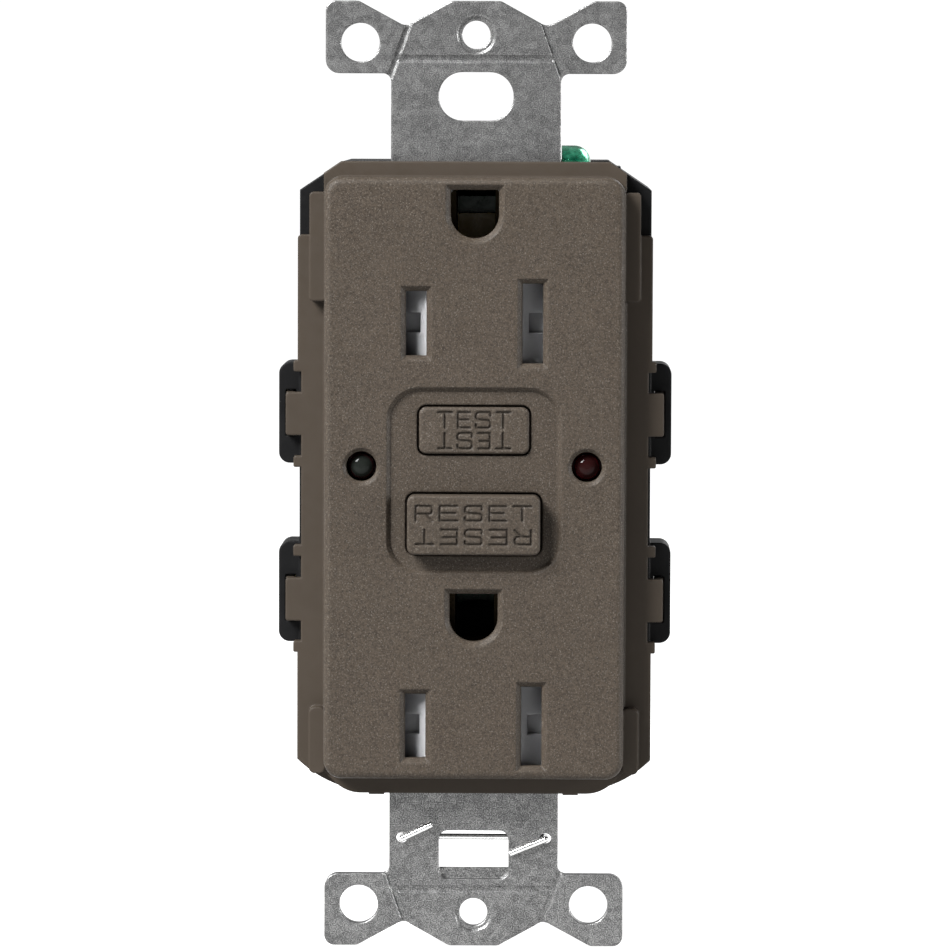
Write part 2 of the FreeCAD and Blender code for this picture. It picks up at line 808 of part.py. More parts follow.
def cover_openings(cover):
    """Recess, button holes, light holes, blade slots and ground holes, with bevelled edges."""
    face, inside = D.face_y, D.face_y + D.front_wall
    recess = rectangle(-D.recess_half_width, D.recess_bottom_z, D.recess_half_width, D.recess_top_z, D.recess_round)
    cover.pocket("y", face, face + D.recess_depth, recess)
    cover.pocket("y", face, inside, *[circle(side * D.light_x, D.light_z, D.light_hole_radius) for side in (-1, 1)])
    face_y = face.value
    reach = D.face_half_width.value - 1
    cover.chamfer(D.small_bevel, lambda box: box.YMax < face_y + 0.01 and box.XMax < reach and box.XMin > -reach
                  and abs(box.ZMax) < 11)
    cover.pocket("y", face, inside, button_hole(D.test_z, D.test_half_width, D.test_half_height),
                 button_hole(D.reset_z, D.reset_half_width, D.reset_half_height))
    openings = []
    for z in RECEPTACLES.values():
        for side, half_height in ((-1, D.hot_slot_half_height), (1, D.neutral_slot_half_height)):
            x = side * D.blade_x
            half = D.blade_slot_half_width
            openings.append(rectangle(x - half, z - half_height, x + half, z + half_height))
        openings.append(ground_opening(ground_z(z)))
    cover.pocket("y", face, inside, *openings)
    cover.chamfer(D.slot_bevel, lambda box: box.YMax < face_y + 0.01 and box.XMax < reach - 6
                  and box.XMin > 6 - reach and abs(box.ZMax + box.ZMin) > 22)


def ground_opening(z):
    """Flat above and half-round below."""
    half = D.ground_half_width
    return polygon((-half, z + half), (half, z + half), (half, z - half, half * 0.99), (-half, z - half, half * 0.99))


def button_hole(z, half_width, half_height):
    gap = D.button_gap
    return rectangle(-half_width - gap, z - half_height - gap, half_width + gap, z + half_height + gap,
                     D.button_round + gap)


def case_screw_places():
    return [(side * D.case_screw_x, z) for side in (-1, 1) for z in (D.case_screw_top_z, D.case_screw_bottom_z)]


# ---------------------------------------------------------------- push buttons and lights


def push_button(label, z, half_width, half_height, front_y):
    """A cap with a retaining flange behind the cover's front wall."""
    button = Piece(label)
    flange = D.button_flange
    button.pad("y", D.flange_front_y, D.flange_rear_y, rectangle(
        -half_width - flange, z - half_height - flange, half_width + flange, z + half_height + flange, 0.8))
    cap = rectangle(-half_width, z - half_height, half_width, z + half_height, D.button_round)
    button.pad("y", D.flange_front_y, front_y, cap)
    edge = front_y.value
    button.fillet(0.3, lambda box: box.YMax < edge + 0.01)
    return button


def test_button():
    button = push_button("test_button", D.test_z, D.test_half_width, D.test_half_height, D.test_front_y)
    stem = rectangle(-1.5, D.test_z - 1.1, 1.5, D.test_z + 1.1)
    button.pad("y", D.flange_rear_y, D.test_stem_end_y, stem)


def reset_button():
    button = push_button("reset_button", D.reset_z, D.reset_half_width, D.reset_half_height, D.reset_front_y)
    button.pocket("y", D.flange_rear_y, D.flange_rear_y - 1.5, circle(0, D.reset_z, D.reset_pin_radius))


def reset_pin():
    """Steel latch pin pressed into the reset button, with the latch's groove near its tip."""
    radius = D.reset_pin_radius
    end = D.reset_pin_end_y
    start = D.flange_rear_y - 1.5
    Piece("reset_pin").revolve("y", (0, D.reset_z), polygon(
        (0, start), (radius, start), (radius, end - 1.9), (radius * 0.65, end - 1.9), (radius * 0.65, end - 1.1),
        (radius, end - 1.1), (radius, end - 0.6), (radius * 0.45, end), (0, end),
    ))


def button_springs():
    start, end = D.flange_rear_y + 0.05, -0.05
    node("test_spring", coil("y", (0, D.test_z), start, end, 2.4, 0.18, 4.5))
    node("reset_spring", coil("y", (0, D.reset_z), start, end, 2.2, 0.2, 4.5))


def test_blade():
    """Leaf contact that the test button's stem closes."""
    z = D.test_z
    rear = D.frame_rear_y
    node("test_blade", block((-11, rear + 0.05, z - 0.75), (2.2, rear + 0.35, z + 0.75)))


def indicator_light(label, side):
    radius = D.light_radius
    front, rear = D.light_front_y, D.light_rear_y
    flange = radius + 0.4
    Piece(label).revolve("y", (side * D.light_x, D.light_z), polygon(
        (0, front), (radius, front, 1.2), (radius, rear - 0.6), (flange, rear - 0.6), (flange, rear), (0, rear),
    ))


def led_leads():
    leads = []
    for side in SIDES.values():
        for shift in (-D.lead_half_pitch, D.lead_half_pitch):
            x = side * D.light_x + shift
            leads.append(bent_wire(
                D.lead_radius,
                (x, D.light_rear_y, D.light_z),
                (x, -0.6, D.light_z),
                (x, 2.0, D.lead_board_z),
                (x, D.board_front_y, D.lead_board_z),
            ))
    node("led_leads", *leads)


# ---------------------------------------------------------------- tamper shutters


def shutter_tray(name, z):
    """Guide plate behind the two shutters of one receptacle."""
    low, high = z - 4.8, z + 6.2
    tray = Piece(f"shutter_tray_{name}")
    half = D.tray_half_width
    tray.pad("y", D.tray_rear_y, D.tray_front_y, rectangle(-half, low, half, high, 0.5))
    tray.pad("y", D.tray_front_y, D.shutter_front_y, rectangle(-half, high - 1.2, half, high))
    for side in SIDES.values():
        tray.pad("y", D.tray_front_y, D.shutter_front_y, rectangle(side * half, low, side * (half - 0.8), high - 1.2))
    slots = [rectangle(s * (D.blade_x - 1.3), z - 4.4, s * (D.blade_x + 1.3), z + 4.4) for s in SIDES.values()]
    tray.pocket("y", D.tray_front_y, D.tray_rear_y, *slots)


def shutter(label, side, z, half_height):
    """A ramp that a blade pushes inward. Its middle band is stepped back."""
    front, rear = D.shutter_front_y, D.shutter_rear_y
    piece = Piece(label)
    piece.pad("z", z - half_height, z + half_height, polygon(
        (side * 8.2, rear), (side * 4.6, rear), (side * 4.6, front), (side * 5.3, front),
        (side * 7.5, front + 1.7), (side * 8.2, front + 1.7),
    ))
    band = rectangle(side * 5.9, z - 1.1, side * 9.0, z + 1.1)
    piece.pocket("y", front - 0.1, front + 1.9, band)


def shutters():
    for name, z in RECEPTACLES.items():
        shutter_tray(name, z)
        shutter(f"hot_shutter_{name}", -1, z, 4.1)
        shutter(f"neutral_shutter_{name}", 1, z, 4.7)
        node(f"shutter_spring_{name}", coil("x", (-4.7, z), -4.55, 4.55, 0.8, 0.12, 9))


# ---------------------------------------------------------------- rear casing and insulating frame


def rear_casing():
    front, rear, wall = -D.strap_thickness, D.casing_rear_y, D.casing_wall
    casing = Piece("rear_casing")
    casing.pad("y", front, rear, mirrored_polygon(
        (D.band_chamfer_x, D.casing_top_z),
        (D.casing_half_width, D.casing_shoulder_z),
        *lower_corner(D.casing_half_width),
    ))
    casing.pocket("y", front, rear - wall, mirrored_polygon(
        (D.band_chamfer_x - 0.6, D.casing_top_z - wall),
        (D.casing_half_width - wall, D.casing_shoulder_z - 0.9),
        (D.casing_half_width - wall, D.corner_start_z + 0.6),
        (D.casing_half_width - wall - D.corner_run, D.body_bottom_z + wall, 6.0),
    ))
    strap_notch = D.neck_half_width + 0.3
    casing.pocket("y", front, 0, rectangle(-strap_notch, 30, strap_notch, 36), rectangle(-strap_notch, -36, strap_notch, -30))
    casing_ground_pocket(casing)
    casing_terminal_pockets(casing)
    casing_screw_columns(casing)
    casing_loops(casing)


def casing_ground_pocket(casing):
    """A corner pocket, open above, for the ground screw and its lug."""
    casing.pad("y", 0, 11.2, rectangle(3.0, 26.4, 15.9, D.casing_top_z - 0.5))
    casing.pocket("z", 27.6, 36, rectangle(4.0, -0.01, D.band_chamfer_x, 10))


def casing_terminal_pockets(casing):
    inner, wall, rear = D.pocket_inner_x, D.pocket_wall, D.casing_rear_y
    side_inside = D.casing_half_width - 1
    for side in SIDES.values():
        for z in TERMINALS.values():
            half = D.pocket_half_height
            casing.pad("y", D.pocket_front_y - wall, D.pocket_rear_y + wall, rectangle(
                side * (inner - wall), z - half - 1, side * side_inside, z + half + 1))
            casing.pad("y", D.pocket_rear_y, rear - 1, rectangle(
                side * 13.4, z - half - 1, side * side_inside, z + half + 1))
            casing.pocket("x", side * inner, side * (D.casing_half_width + 1), rectangle(
                D.pocket_front_y, z - half, D.pocket_rear_y, z + half, 0.5))
            casing.pocket("x", side * (inner - wall - 0.5), side * (inner + 0.1), rectangle(17.6, z - 2.0, 18.8, z + 2.0))
            holes = [circle(side * D.wire_gap_x, z + shift * D.wire_hole_offset, D.wire_hole_radius) for shift in (-1, 1)]
            casing.pocket("y", D.pocket_rear_y - 0.5, rear, *holes)


def casing_screw_columns(casing):
    front, rear = -D.strap_thickness, D.casing_rear_y
    places = case_screw_places()
    casing.pad("y", front, rear - 0.5, *[circle(x, z, 2.4) for x, z in places])
    casing.pocket("y", front, rear, *[circle(x, z, D.case_screw_radius + 0.25) for x, z in places])
    casing.pocket("y", rear - 1.8, rear, *[circle(x, z, D.case_screw_head + 0.3) for x, z in places])


def casing_loops(casing):
    """Loops on both sides that the cover's snap arms lock into."""
    root = D.casing_half_width - 0.5
    for side in SIDES.values():
        for loop_z, arm_z in ((D.upper_loop_z, D.upper_arm_z), (D.lower_loop_z, D.lower_arm_z)):
            half = D.loop_half_height
            casing.pad("y", D.loop_front_y, D.loop_rear_y, polygon(
                (side * root, loop_z - half),
                (side * D.loop_outer_x, loop_z - half, 1.2),
                (side * D.loop_outer_x, loop_z + half, 1.2),
                (side * root, loop_z + half),
            ))
            opening = D.arm_half_height + 0.2
            casing.pocket("y", D.loop_front_y, D.loop_rear_y, rectangle(
                side * (D.arm_inner_x - 0.2), arm_z - opening, side * (D.loop_outer_x - D.loop_wall), arm_z + opening))


def mid_frame():
    """Insulating frame behind the strap, which carries the springs and contacts."""
    rear = D.frame_rear_y
    frame = Piece("mid_frame")
    frame.pad("y", 0, rear, rectangle(
        -D.frame_half_width, D.frame_bottom_z, D.frame_half_width, D.frame_top_z, 0.5))
    upper, lower = D.upper_blade_z, D.lower_blade_z
    half = D.blade_window_half_height
    frame.pocket("y", 0, rear, rectangle(-D.window_half_width, upper - half, D.window_half_width, upper + half, 0.5),
                 rectangle(-D.window_half_width, lower - half + 0.3, D.window_half_width, lower + half, 0.5),
                 rectangle(-3.1, ground_z(lower) - 5.9, 3.1, ground_z(lower) + 4.6),
                 rectangle(-1.9, D.test_z - 1.5, 1.9, D.test_z + 1.5),
                 circle(0, D.reset_z, D.reset_pin_radius + 0.35))
    frame.pocket("y", 0, rear, rectangle(-3.1, ground_z(upper) - 5.9, 3.1, D.frame_top_z + 1))


def case_screws():
    rear = D.casing_rear_y
    screws = []
    for across in case_screw_places():
        shank = rod("y", across, D.case_screw_radius, -D.strap_thickness - 2.9, rear - 1.7)
        head = rod("y", across, D.case_screw_head, rear - 1.7, rear - 0.4)
        x, z = across
        slots = [
            block((x - 1.3, rear - 1.1, z - 0.3), (x + 1.3, rear, z + 0.3)),
            block((x - 0.3, rear - 1.1, z - 1.3), (x + 0.3, rear, z + 1.3)),
        ]
        screws.append(cut(fused(shank, head), *slots))
    node("case_screws", *screws)


# ---------------------------------------------------------------- bus bars, contacts and terminals


def blade_clip(side, z):
    """Two leaves that grip a blade, and the web that joins them to the bus."""
    leaf, rear, half = D.leaf_thickness, D.clip_rear_y, D.clip_half_height
    inner, outer = 5.3, 6.9
    return [
        block((side * inner, D.bus_front_y, z - half), (side * (inner + leaf), rear, z + half)),
        block((side * outer, D.bus_front_y, z - half), (side * (outer + leaf), rear, z + half)),
        block((side * inner, rear, z - half), (side * D.bus_outer_x, rear + leaf, z + half)),
        block((side * D.bus_inner_x, D.bus_front_y, z - half), (side * D.bus_outer_x, rear + leaf, z + half)),
    ]


def terminal_plate(side, z, inner_end):
    """The fixed plate under a terminal screw's head, with a leg into the casing."""
    half = D.terminal_plate_half_height
    rear = 18.6
    inner, outer = D.terminal_plate_inner_x, D.terminal_plate_outer_x
    plate = block((side * inner, 9.2, z - half), (side * outer, rear, z + half))
    hole = rod("x", (D.terminal_y, z), D.terminal_shank_radius + 0.2, side * (inner - 1), side * (outer + 1))
    leg = block((side * inner_end, 17.8, z - 1.8), (side * (inner + 0.1), rear, z + 1.8))
    return [cut(plate, hole), leg]


def bus(name, side):
    """Load-side bus bar: both blade clips, the tab of the fixed contact and the load terminal."""
    inner, outer = D.bus_inner_x, D.bus_outer_x
    low = D.lower_blade_z - D.clip_half_height
    high = D.upper_blade_z + D.clip_half_height
    z = D.load_terminal_z
    parts = [block((side * inner, D.bus_front_y, low), (side * outer, D.bus_rear_y, high))]
    for blade_z in RECEPTACLES.values():
        parts += blade_clip(side, blade_z)
    parts.append(block((side * 6.8, D.bus_rear_y, 0.6), (side * outer, D.bus_rear_y + 0.6, 4.0)))
    parts.append(block((side * inner, D.bus_rear_y - 0.1, 0.6), (side * outer, D.bus_rear_y + 0.6, 4.0)))
    parts.append(block((side * inner, D.bus_rear_y - 0.1, z - 1.8), (side * outer, 18.6, z + 1.8)))
    parts += terminal_plate(side, z, inner)
    node(f"{name}_bus", fused(*parts))


def line_terminal(name, side):
    z = D.line_terminal_z
    pin = block((side * 9.0, 18.5, z - 0.5), (side * 9.5, D.board_front_y, z + 0.5))
    node(f"{name}_line_terminal", fused(pin, *terminal_plate(side, z, 9.0)))


def fixed_contacts():
    front = D.bus_rear_y + 0.6
    node("fixed_contacts", *[
        rod("y", (side * D.contact_x, D.contact_z), D.contact_radius, front, front + 0.8) for side in SIDES.values()
    ])


def contact_arm(name, side):
    """Spring arm that carries the moving contact."""
    arm = block((side * 7.0, D.arm_front_y, D.arm_hinge_z), (side * 9.3, D.arm_rear_y, D.contact_arm_tip_z))
    node(f"{name}_contact_arm", arm)
    across = (side * D.contact_x, D.contact_z)
    node(f"{name}_moving_contact", rod("y", across, D.contact_radius, D.arm_front_y - 0.55, D.arm_front_y))


def line_conductors():
    """From the board through the current transformer, and forward to the root of each contact arm."""
    y, z = D.conductor_y, D.transformer_z
    conductors = []
    for side in SIDES.values():
        through = rod("y", (side * 1.5, z), D.conductor_radius, y, D.board_front_y - 0.1)
        across = block((side * 0.5, y, z - 1), (side * 9.2, y + 0.6, z + 1))
        along = block((side * 7.2, y, z - 1), (side * 9.2, y + 0.6, D.arm_hinge_z - 0.2))
        root = block((side * 7.2, 8.7, D.arm_hinge_z - 0.9), (side * 9.2, y + 0.1, D.arm_hinge_z - 0.2))
        conductors.append(fused(through, across, along, root))
    node("line_conductors", *conductors)


def terminal_screw(label, side, z):
    head_seat = D.terminal_plate_outer_x + 0.1
    end = D.terminal_head_outer_x
    tip = 11.4
    screw = Piece(label)
    screw.revolve("x", (D.terminal_y, z), polygon(
        (side * tip, 0), (side * end, 0), (side * end, D.terminal_head_radius, 0.7),
        (side * head_seat, D.terminal_head_radius), (side * head_seat, D.terminal_shank_radius),
        (side * (tip + 0.5), D.terminal_shank_radius), (side * tip, D.terminal_shank_radius - 0.5),
    ))
    slot = rectangle(D.terminal_y - 3.9, z - 0.55, D.terminal_y + 3.9, z + 0.55)
    screw.pocket("x", side * (end - 1.2), side * (end + 0.2), slot)


def clamp_plate(label, side, z):
    """The plate that a terminal screw draws outward onto the wires."""
    plate = block((side * D.clamp_inner_x, 9.4, z - 4.4), (side * D.clamp_outer_x, 17.4, z + 4.4))
    thread = rod("x", (D.terminal_y, z), D.terminal_shank_radius + 0.05, side * 12, side * 15)
    node(label, cut(plate, thread))


def terminals():
    for name, side in SIDES.items():
        bus(name, side)
        line_terminal(name, side)
        contact_arm(name, side)
        for end, z in TERMINALS.items():
            terminal_screw(f"{name}_{end}_screw", side, z)
            clamp_plate(f"{name}_{end}_clamp", side, z)


# ---------------------------------------------------------------- tripping mechanism


def latch_carriage():
    """Slides forward to close both contact arms. The reset pin enters its bore."""
    front, rear = D.carriage_front_y, D.carriage_rear_y
    half, top = D.carriage_half_width, D.carriage_top_z
    carriage = Piece("latch_carriage")
    carriage.pad("y", front, rear, rectangle(-half, D.carriage_bottom_z, half, top, 0.4))
    carriage.pad("y", front, front + 1.35, rectangle(-D.carriage_wing_x, top - 3.1, D.carriage_wing_x, top - 0.1, 0.3))
    carriage.pocket("y", front, rear, circle(0, D.reset_z, D.reset_pin_radius + 0.3))
    gap = D.latch_clearance
    reach = D.latch_half_width + 0.2
    carriage.pocket("z", D.carriage_bottom_z, top, rectangle(
        -reach, D.latch_front_y - gap, reach, D.latch_rear_y + gap))


def latch_plate():
    """Steel latch with a hole for the pin, and a tab for the plunger."""
    front, rear, half = D.latch_front_y, D.latch_rear_y, D.latch_half_width
    top = 2.2
    plate = block((-half, front, -9.0), (half, rear, top))
    tab = block((-1.5, front, top - 0.8), (1.5, 16.2, top))
    pin_hole = rod("y", (0, D.reset_z), D.reset_pin_radius + 0.5, front - 1, rear + 1)
    node("latch_plate", cut(fused(plate, tab), pin_hole))


def breaker_springs():
    start, end = D.frame_rear_y + 0.05, D.carriage_front_y - 0.05
    node("breaker_springs", *[coil("y", (x, -7.6), start, end, 1.0, 0.14, 7) for x in (-3.1, 3.1)])


def solenoid():
    """Coil on a bobbin, in a bent steel frame, with a plunger that pushes the latch down."""
    across = (0, D.coil_y)
    low, high = D.coil_bottom_z, D.coil_top_z
    rim, flange, tube = D.coil_flange_radius, D.coil_flange_thickness, D.coil_tube_radius
    bore = rod("z", across, D.plunger_radius + 0.3, low - 1, high + 1)
    bobbin = fused(
        rod("z", across, tube, low, high),
        rod("z", across, rim, low, low + flange),
        rod("z", across, rim, high - flange, high),
    )
    node("coil_bobbin", cut(bobbin, bore))
    winding = rod("z", across, rim - 0.4, low + flange, high - flange)
    core = rod("z", across, tube, low, high)
    node("coil_winding", cut(winding, core))
    front, rear = D.coil_y - 4.4, D.board_front_y - 0.1
    frame = fused(
        block((-4, front, low - 0.8), (4, rear, low - 0.1)),
        block((-4, front, high + 0.1), (4, rear, high + 0.8)),
        block((-4, rear - 0.65, low - 0.8), (4, rear, high + 0.8)),
    )
    node("coil_frame", cut(frame, rod("z", across, D.plunger_radius + 0.4, low - 2, low + 0.5)))
    node("coil_plunger", rod("z", across, D.plunger_radius, D.plunger_tip_z, high - 1.0))
    node("plunger_spring", coil("z", across, high - 0.95, high + 0.05, 1.2, 0.15, 2.75))


# ---------------------------------------------------------------- circuit board and current transformer


def circuit_board():
    front, rear = D.board_front_y, D.board_rear_y
    board = Piece("circuit_board")
    board.pad("y", front, rear, rectangle(
        -D.board_half_width, D.board_bottom_z, D.board_half_width, D.board_top_z, 0.8))


def board_parts():
    front, rear = D.board_front_y, D.board_rear_y
    node("varistor", fused(
        rod("x", (15.6, 22), 4.0, -11.3, -7.9),
        rod("y", (-10.2, 20.4), 0.3, 16, front),
        rod("y", (-9.0, 23.6), 0.3, 16, front),
    ))
    capacitor = Piece("filter_capacitor")
    capacitor.pad("z", 23.8, 28.6, rectangle(-5, 13.8, 6, front - 0.1, 0.6))
    node(
        "board_semiconductors",
        block((-4, rear, -6), (4, rear + 1.7, 4.2)),
        block((-6.5, rear, -18), (-2.5, rear + 1.5, -14)),
        cut(rod("z", (10, 17.8), 2.3, 17.6, 22.2), block((6, 18.6, 17), (14, 21, 23))),
    )
    resistors = [rod("z", (x, front - 1.0), 0.9, 23.5, 28.5) for x in (8.2, 10.8)]
    resistors += [rod("x", (rear + 1.0, z), 0.9, -9.0, -3.5) for z in (12, 16, 20)]
    node("board_resistors", *resistors)


def current_transformer():
    """Two ring cores in a round cup, over the line conductors."""
    across = (0, D.transformer_z)
    front, rear = D.transformer_front_y, D.board_front_y - 0.1
    outer, bore, wall = D.transformer_radius, D.transformer_bore, 0.7
    cup = Piece("transformer_case")
    cup.pad("y", front, rear, circle(*across, outer))
    cup.pocket("y", front, rear, circle(*across, bore))
    cup.pocket("y", front + wall, rear, circle(*across, outer - wall), circle(*across, bore + wall))
    rings = []
    for start in (front + 1.0, front + 4.6):
        ring = rod("y", across, outer - wall - 0.4, start, start + 3.2)
        rings.append(cut(ring, rod("y", across, bore + wall + 0.4, start - 1, start + 5)))
    node("sense_cores", *rings)


# ---------------------------------------------------------------- build, check and write


def build():
    mounting_strap()
    ground_clip_wire()
    ground_contacts()
    ground_contact_rivets()
    ground_screw()
    front_cover()
    test_button()
    reset_button()
    reset_pin()
    button_springs()
    test_blade()
    indicator_light("status_led", -1)
    indicator_light("fault_led", 1)
    led_leads()
    shutters()
    rear_casing()
    mid_frame()
    case_screws()
    terminals()
    fixed_contacts()
    line_conductors()
    latch_carriage()
    latch_plate()
    breaker_springs()
    solenoid()
    circuit_board()
    board_parts()
    current_transformer()
    doc.recompute()


def check():
    for thing in doc.Objects:
        if "Invalid" in thing.State or "Error" in thing.State:
            raise RuntimeError(f"{thing.Name} ({thing.Label}) is {thing.State}")
    for label, thing in nodes.items():
        if thing.Shape.isNull() or not thing.Shape.isValid() or not thing.Shape.Solids:
            raise RuntimeError(f"{label} has no valid solid")
        print(f"{label}: {len(thing.Shape.Solids)} solid(s), {thing.Shape.Volume:.1f} mm3")


def write():
    os.makedirs("parts", exist_ok=True)
    for label, thing in nodes.items():
        thing.Shape.exportStep(os.path.join("parts", label + ".step"))


build()
check()
write()
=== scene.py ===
"""Visual model of a tamper-resistant GFCI outlet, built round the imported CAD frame.

Metres, Z up, -Y to the front. Values for textures and strokes are millimetres, turned to metres by MM.
"""

import json
import math

import bmesh
import bpy
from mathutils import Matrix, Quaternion, Vector, geometry

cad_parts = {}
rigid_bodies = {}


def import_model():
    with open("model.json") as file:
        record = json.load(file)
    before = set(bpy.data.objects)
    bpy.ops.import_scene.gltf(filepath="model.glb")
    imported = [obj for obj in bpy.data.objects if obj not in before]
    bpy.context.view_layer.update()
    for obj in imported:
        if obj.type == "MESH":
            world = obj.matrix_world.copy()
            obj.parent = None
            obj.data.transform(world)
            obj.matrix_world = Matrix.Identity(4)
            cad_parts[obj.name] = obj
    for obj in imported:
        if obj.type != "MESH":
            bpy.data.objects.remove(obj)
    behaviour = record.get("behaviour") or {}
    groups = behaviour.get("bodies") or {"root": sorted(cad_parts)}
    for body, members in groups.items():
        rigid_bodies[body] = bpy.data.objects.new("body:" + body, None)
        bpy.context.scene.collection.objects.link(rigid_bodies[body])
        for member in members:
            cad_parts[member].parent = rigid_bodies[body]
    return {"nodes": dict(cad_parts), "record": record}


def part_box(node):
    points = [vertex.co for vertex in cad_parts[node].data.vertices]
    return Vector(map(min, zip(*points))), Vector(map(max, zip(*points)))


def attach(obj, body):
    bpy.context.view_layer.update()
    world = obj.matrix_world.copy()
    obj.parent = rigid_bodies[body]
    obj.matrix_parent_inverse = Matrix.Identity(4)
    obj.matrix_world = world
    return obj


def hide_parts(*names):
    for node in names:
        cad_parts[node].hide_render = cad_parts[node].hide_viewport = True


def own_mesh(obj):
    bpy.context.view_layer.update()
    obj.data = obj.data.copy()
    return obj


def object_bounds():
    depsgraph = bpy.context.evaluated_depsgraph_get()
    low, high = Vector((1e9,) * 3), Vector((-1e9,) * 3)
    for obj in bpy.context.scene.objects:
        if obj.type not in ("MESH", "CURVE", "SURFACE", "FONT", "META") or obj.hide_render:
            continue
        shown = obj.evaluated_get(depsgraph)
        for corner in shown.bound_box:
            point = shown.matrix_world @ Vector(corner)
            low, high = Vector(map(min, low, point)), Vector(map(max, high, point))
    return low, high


MM = 0.001

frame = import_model()
cad_low, cad_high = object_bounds()


# --- Material building blocks ------------------------------------------------------------------------


class Paint:
    """A node material under construction. Lengths given to its textures are millimetres on the object."""

    def __init__(self, name, **constants):
        self.material = bpy.data.materials.new(name)
        self.material.use_nodes = True
        self.tree = self.material.node_tree
        self.shader = self.tree.nodes["Principled BSDF"]
        for socket, value in constants.items():
            self.shader.inputs[socket.replace("_", " ")].default_value = value
        self.place = self.node("ShaderNodeTexCoord").outputs["Object"]

    def node(self, kind, inputs=None, **settings):
        made = self.tree.nodes.new(kind)
        for name, value in settings.items():
            setattr(made, name, value)
        for key, value in (inputs or {}).items():
            if isinstance(value, bpy.types.NodeSocket):
                self.tree.links.new(value, made.inputs[key])
            else:
                made.inputs[key].default_value = value
        return made

    def math(self, operation, first, second=0.0, third=0.0):
        return self.node("ShaderNodeMath", {0: first, 1: second, 2: third}, operation=operation).outputs[0]

    def stretched(self, x, y, z):
        """The object's coordinates, stretched so that a pattern becomes streaks."""
        return self.node("ShaderNodeMapping", {"Vector": self.place, "Scale": (x, y, z)}).outputs[0]

    def noise(self, size, detail=2.0, rough=0.5, place=None):
        """Noise whose blobs are about size millimetres across."""
        place = place or self.place
        inputs = {"Vector": place, "Scale": 1 / (size * MM), "Detail": detail, "Roughness": rough}
        return self.node("ShaderNodeTexNoise", inputs).outputs["Fac"]

    def cells(self, size):
        """Cells about size millimetres across, each with its own random level from 0 to 1."""
        inputs = {"Vector": self.place, "Scale": 1 / (size * MM)}
        colour = self.node("ShaderNodeTexVoronoi", inputs).outputs["Color"]
        return self.node("ShaderNodeSeparateColor", {"Color": colour}).outputs["Red"]

    def remap(self, value, low, high, to_low, to_high, smooth=False):
        kind = "SMOOTHSTEP" if smooth else "LINEAR"
        inputs = {"Value": value, "From Min": low, "From Max": high, "To Min": to_low, "To Max": to_high}
        return self.node("ShaderNodeMapRange", inputs, interpolation_type=kind).outputs[0]

    def ramp(self, value, *stops):
        made = self.node("ShaderNodeValToRGB", {"Fac": value})
        elements = made.color_ramp.elements
        while len(elements) < len(stops):
            elements.new(0.5)
        for element, (position, colour) in zip(elements, stops):
            element.position = position
            element.color = (*colour, 1)
        return made.outputs["Color"]

    def mix(self, factor, first, second, blend="MIX"):
        made = self.node("ShaderNodeMix", data_type="RGBA", blend_type=blend)
        sockets = made.inputs[0], made.inputs[6], made.inputs[7]
        for socket, value in zip(sockets, (factor, first, second)):
            if isinstance(value, bpy.types.NodeSocket):
                self.tree.links.new(value, socket)
            elif isinstance(value, tuple):
                socket.default_value = (*value, 1)
            else:
                socket.default_value = value
        return made.outputs[2]

    def axis(self, name):
        return self.node("ShaderNodeSeparateXYZ", {"Vector": self.place}).outputs[name]

    def brightness(self, colour, amount):
        """The colour times a grey amount that varies over the surface."""
        channels = {"Red": amount, "Green": amount, "Blue": amount}
        grey = self.node("ShaderNodeCombineColor", channels).outputs[0]
        return self.mix(1.0, colour, grey, "MULTIPLY")

    def bump(self, height, depth, rounded=0.0):
        """Height from 0 to 1 raises the surface by up to depth; edges shade with the rounded radius."""
        inputs = {"Height": height, "Strength": 1.0, "Distance": depth * MM}
        if rounded:
            inputs["Normal"] = self.node("ShaderNodeBevel", {"Radius": rounded * MM}, samples=6).outputs[0]
        self.link("Normal", self.node("ShaderNodeBump", inputs).outputs[0])

    def link(self, socket, value):
        self.tree.links.new(value, self.shader.inputs[socket])


def moulded(
        name, colour, *, grain, relief,
        rough=(0.42, 0.56), mottle=0.1, specular=0.4, rounded=0.08, **constants):
    """Injection-moulded plastic: fine relief, faint flow mottling, uneven gloss and softened edges."""
    paint = Paint(name, Specular_IOR_Level=specular, **constants)
    flow = paint.noise(3.5, 3)
    fine = paint.noise(grain, 3, 0.6)
    uneven = paint.math("ADD", flow, paint.math("MULTIPLY", fine, 0.5))
    shade = paint.remap(uneven, 0.45, 1.05, 1 - mottle, 1 + mottle)
    paint.link("Base Color", paint.brightness(colour, shade))
    paint.link("Roughness", paint.remap(paint.noise(1.2, 3), 0.3, 0.7, *rough))
    paint.bump(fine, relief, rounded)
    return paint.material


def metal(name, *, dark, light, grain, rough, relief, streak=(1, 1, 1)):
    """Bare or plated metal: grain and clouds between two tones, and uneven polish."""
    paint = Paint(name, Metallic=1.0)
    fine = paint.noise(grain, 3, 0.6, paint.stretched(*streak))
    cloud = paint.noise(4.0, 2)
    tone = paint.math("ADD", paint.math("MULTIPLY", fine, 0.75), paint.math("MULTIPLY", cloud, 0.25))
    paint.link("Base Color", paint.ramp(tone, (0.36, dark), (0.64, light)))
    paint.link("Roughness", paint.remap(fine, 0.35, 0.65, *rough))
    paint.bump(fine, relief, METAL_EDGE)
    return paint.material


